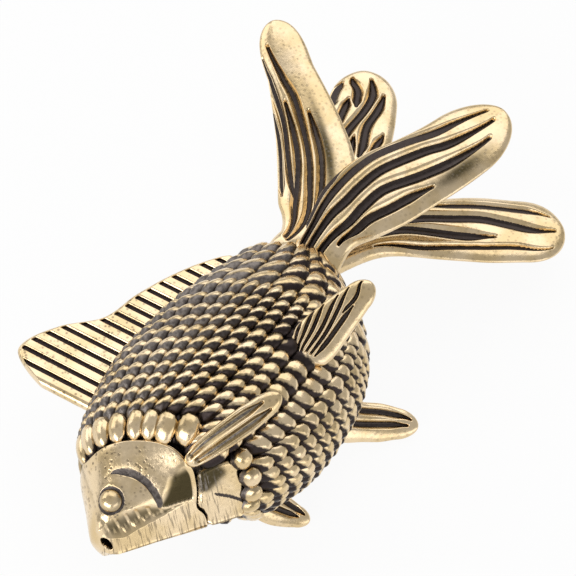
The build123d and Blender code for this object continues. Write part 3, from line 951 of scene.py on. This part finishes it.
rightPelvic = {
    "line": [(10.01, 6.4, -5.78), (12.74, 7.25, -7.6), (14.58, 10.35, -8.9), (18.69, 11.69, -9.2)],
    "halfWidths": [1.92, 2.26, 2.41, 2.16, 2.07, 1.69],
    "tipPower": 1.5,
    "faces": (0.2, -0.4, 0.85),
    "halfThickness": 0.85,
    "start": -0.15,
    "grooveDepth": 0.42,
    "darkShare": 0.8,
    "grooves": [
        (0.36, [(0.55, 0.05), (0.55, 0.5), (0.50, 0.92)]),
        (0.36, [(-0.10, 0.05), (-0.12, 0.5), (-0.05, 0.90)]),
    ],
}

leftPectoral = {
    "line": [(4.77, -10.86, 7.32), (6.13, -9.36, 9.3), (8.16, -6.16, 10.8), (9.93, -2.52, 12.0)],
    "halfWidths": [0.95, 1.1, 1.25, 1.35, 1.4, 1.25],
    "tipPower": 1.9,
    "faces": (0.3, -0.5, 0.8),
    "halfThickness": 0.95,
    "start": -0.10,
    "rootRound": 0.12,
    "grooveDepth": 0.50,
    "darkShare": 0.22,
    # painted shade over the grooves
    "grooveShade": 0.55,
    "grooves": [
        (0.40, [(0.45, 0.02), (0.50, 0.25), (0.45, 0.54), (0.40, 0.84)]),
        (0.40, [(-0.35, 0.05), (-0.40, 0.30), (-0.40, 0.59), (-0.45, 0.86)]),
    ],
}

rightPectoral = {
    "line": [(8.02, -5.78, -6.5), (9.73, -5.0, -8.2), (11.82, -4.42, -9.0), (14.16, -3.84, -9.3)],
    "halfWidths": [1.3, 1.5, 1.8, 1.85, 1.55, 1.15],
    "tipPower": 1.4,
    "faces": (0.3, -0.5, 0.8),
    "halfThickness": 0.8,
    "start": -0.2,
    "grooveDepth": 0.40,
    "darkShare": 0.8,
    "grooves": [
        (0.34, [(0.70, 0.15), (0.60, 0.55), (0.55, 0.88)]),
        (0.34, [(0.05, 0.15), (0.05, 0.50), (0.10, 0.80)]),
    ],
}


def bladeFrame(blade, v):
    p0, p1, p2, p3 = [np.array(p, float) for p in blade["line"]]
    w = v[:, None]
    spot = p0 * (1 - w) ** 3 + p1 * 3 * w * (1 - w) ** 2 + p2 * 3 * w**2 * (1 - w) + p3 * w**3
    along = (p1 - p0) * (1 - w) ** 2 + (p2 - p1) * 2 * w * (1 - w) + (p3 - p2) * w**2
    along = along / np.linalg.norm(along, axis=1, keepdims=True)
    sideways = np.cross(np.array(blade["faces"], float), along)
    sideways = sideways / np.linalg.norm(sideways, axis=1, keepdims=True)
    return spot, sideways, np.cross(along, sideways)


def bladeLength(blade):
    spot = bladeFrame(blade, np.linspace(0, 1, 60))[0]
    return np.linalg.norm(np.diff(spot, axis=0), axis=1).sum()


def grooveReach(marks, u, v, halfWidth, length):
    # distance from a groove's middle line as a share of its half width, which narrows at both ends
    width, line = marks
    us = [m[0] for m in line]
    vs = [m[1] for m in line]
    off = np.abs(u - curveThrough(vs, us, v)) * halfWidth
    past = np.maximum(np.maximum(vs[0] - v, v - vs[-1]), 0) * length
    share = (v - vs[0]) / (vs[-1] - vs[0])
    narrow = ease(-0.02, 0.22, 1 - share)
    if vs[0] > 0.05:
        narrow = narrow * ease(-0.02, 0.22, share)
    narrow = narrow * (0.40 + 0.60 * ease(0.0, 0.30, v))
    return np.hypot(off, past) / (width * (0.32 + 0.68 * narrow))


def makeBlade(name, blade, across, along):
    length = bladeLength(blade)
    sides = []
    for sideSign in (1, -1):
        sheet, unit = newSheet(across, along)
        u = unit[:, 0] * (1.4 - 0.4 * unit[:, 0] ** 2)
        t = (unit[:, 1] + 1) / 2
        v = blade["start"] + (1 - blade["start"]) * (1 - (1 - t) ** 1.5)
        spot, sideways, outward = bladeFrame(blade, v)
        toTip = np.clip((v - bladeShares[-1]) / (1 - bladeShares[-1]), 0, 1)
        tip = np.sqrt(np.clip(1 - toTip ** blade["tipPower"], 0, 1))
        if "rootRound" in blade:
            fromRoot = np.clip((v - blade["start"]) / blade["rootRound"], 0, 1)
            tip = tip * np.sqrt(1 - (1 - fromRoot) ** 2)
        halfWidth = curveThrough(bladeShares, blade["halfWidths"], v) * tip
        thick = blade["halfThickness"] * (1 - bladeForm["thinning"] * np.clip(v, 0, 1)) * np.sqrt(tip)
        thick = thick * np.sqrt(np.clip(1 - np.abs(u) ** bladeForm["edgePower"], 0, 1))
        nearest = np.full(len(u), 9.0)
        for marks in blade["grooves"]:
            nearest = np.minimum(nearest, grooveReach(marks, u, v, halfWidth, length))
        # rounded ridges between the grooves, dark only in their floors
        cut = 1 - ease(0.25, 1.70, nearest)
        dark = 1 - ease(0.8, 1.15, nearest / blade["darkShare"])
        thick = np.maximum(thick - blade["grooveDepth"] * cut, bladeForm["thinnest"] * thick)
        points = spot + sideways * (u * halfWidth)[:, None]
        points = points + outward * (sideSign * thick)[:, None]
        # painted dark reflection, faint everywhere, with painted shade over the grooves and a painted
        # shade spot where given
        darkReflection = 0.10 + blade.get("grooveShade", 0.0) * cut
        if "paintedShadeSpot" in blade:
            su, sv, wideU, wideV = blade["paintedShadeSpot"]
            darkReflection = darkReflection + 0.8 * np.exp(-(((u - su) / wideU) ** 2) - ((v - sv) / wideV) ** 2)
        writePoints(sheet, points)
        setRub(sheet, 1 - dark, 0.35 * (1 - cut), 0.0, darkReflection)
        sides.append(sheet)
    fin = joinPieces(sides)
    closeMesh(fin, bladeForm["seamMm"], fillEnds=True)
    finishPiece(fin, name, finBrass)


makeBlade("lower_left_tail_lobe", lowerLeftLobe, 130, 200)
makeBlade("upper_left_tail_lobe", upperLeftLobe, 130, 200)
makeBlade("upper_right_tail_lobe", upperRightLobe, 120, 190)
makeBlade("lower_right_tail_lobe", lowerRightLobe, 120, 190)
makeBlade("left_pelvic_fin", leftPelvic, 110, 120)
makeBlade("right_pelvic_fin", rightPelvic, 90, 110)
makeBlade("left_pectoral_fin", leftPectoral, 80, 120)
makeBlade("right_pectoral_fin", rightPectoral, 80, 90)

# Camera and studio
studio = {
    "aim": (2.4, 11.9, 5.7),
    "azimuth": 30,
    "elevation": 58,
    "distance": 0.26,
    "lens": 156,
    "sensor": 36,
    "worldLight": 0.52,
    "paper": 0.9,
    "floorGlow": 0.92,
    # name, direction from the fish, distance, width, height, brightness
    "softboxes": [
        ("overhead", (-0.25, 0.62, 0.74), 0.7, 0.8, 0.8, 1.0),
        ("front", (-0.15, -0.95, 0.30), 0.6, 0.5, 0.3, 3.6),
        ("left", (-0.90, 0.0, 0.45), 0.7, 0.6, 0.5, 1.1),
        ("right", (0.85, -0.40, 0.22), 0.7, 0.6, 0.3, 1.1),
    ],
}
aim = Vector((np.array(studio["aim"]) + drawingShift) / 1000)


def viewDirection(azimuth, elevation):
    a = math.radians(azimuth)
    e = math.radians(elevation)
    return Vector((math.sin(a) * math.cos(e), -math.cos(a) * math.cos(e), math.sin(e)))


def addCamera():
    back = viewDirection(studio["azimuth"], studio["elevation"])
    bpy.ops.object.camera_add(location=aim + back * studio["distance"])
    camera = bpy.context.object
    camera.rotation_euler = back.to_track_quat("Z", "Y").to_euler()
    camera.data.lens = studio["lens"]
    camera.data.sensor_width = studio["sensor"]
    camera.data.clip_start = 0.01
    bpy.context.scene.camera = camera


def addSoftboxes():
    for name, direction, away, wide, tall, brightness in studio["softboxes"]:
        direction = Vector(direction).normalized()
        bpy.ops.object.light_add(type="AREA", location=aim + direction * away)
        lamp = bpy.context.object
        lamp.name = name
        lamp.rotation_euler = direction.to_track_quat("Z", "Y").to_euler()
        lamp.data.shape = "RECTANGLE"
        lamp.data.size = wide
        lamp.data.size_y = tall
        lamp.data.energy = brightness * math.pi * wide * tall


def addFloor():
    bpy.ops.mesh.primitive_plane_add(size=6, location=(0, 0, 0))
    floor = bpy.context.object
    floor.name = "studio_floor"
    white = bpy.data.materials.new("floorWhite")
    white.use_nodes = True
    nodes = white.node_tree.nodes
    links = white.node_tree.links
    nodes.clear()
    out = nodes.new("ShaderNodeOutputMaterial")
    paper = nodes.new("ShaderNodeBsdfDiffuse")
    paper.inputs["Color"].default_value = (studio["paper"], studio["paper"], studio["paper"], 1)
    glow = nodes.new("ShaderNodeEmission")
    glow.inputs["Strength"].default_value = 1.0
    path = nodes.new("ShaderNodeLightPath")
    seen = nodes.new("ShaderNodeMath")
    seen.operation = "MAXIMUM"
    either = nodes.new("ShaderNodeMath")
    either.operation = "MAXIMUM"
    part = nodes.new("ShaderNodeMath")
    part.operation = "MULTIPLY"
    part.inputs[1].default_value = studio["floorGlow"]
    mix = nodes.new("ShaderNodeMixShader")
    links.new(path.outputs["Is Camera Ray"], seen.inputs[0])
    links.new(path.outputs["Is Glossy Ray"], seen.inputs[1])
    links.new(seen.outputs[0], either.inputs[0])
    links.new(path.outputs["Is Transmission Ray"], either.inputs[1])
    links.new(either.outputs[0], part.inputs[0])
    links.new(part.outputs[0], mix.inputs[0])
    links.new(paper.outputs[0], mix.inputs[1])
    links.new(glow.outputs[0], mix.inputs[2])
    links.new(mix.outputs[0], out.inputs["Surface"])
    floor.data.materials.append(white)


def setWorld():
    world = bpy.data.worlds.new("studioWorld")
    bpy.context.scene.world = world
    world.use_nodes = True
    sky = world.node_tree.nodes["Background"]
    sky.inputs["Color"].default_value = (1, 1, 1, 1)
    sky.inputs["Strength"].default_value = studio["worldLight"]


addCamera()
addSoftboxes()
addFloor()
setWorld()
bpy.context.scene.view_settings.view_transform = "Standard"
print("studio set")
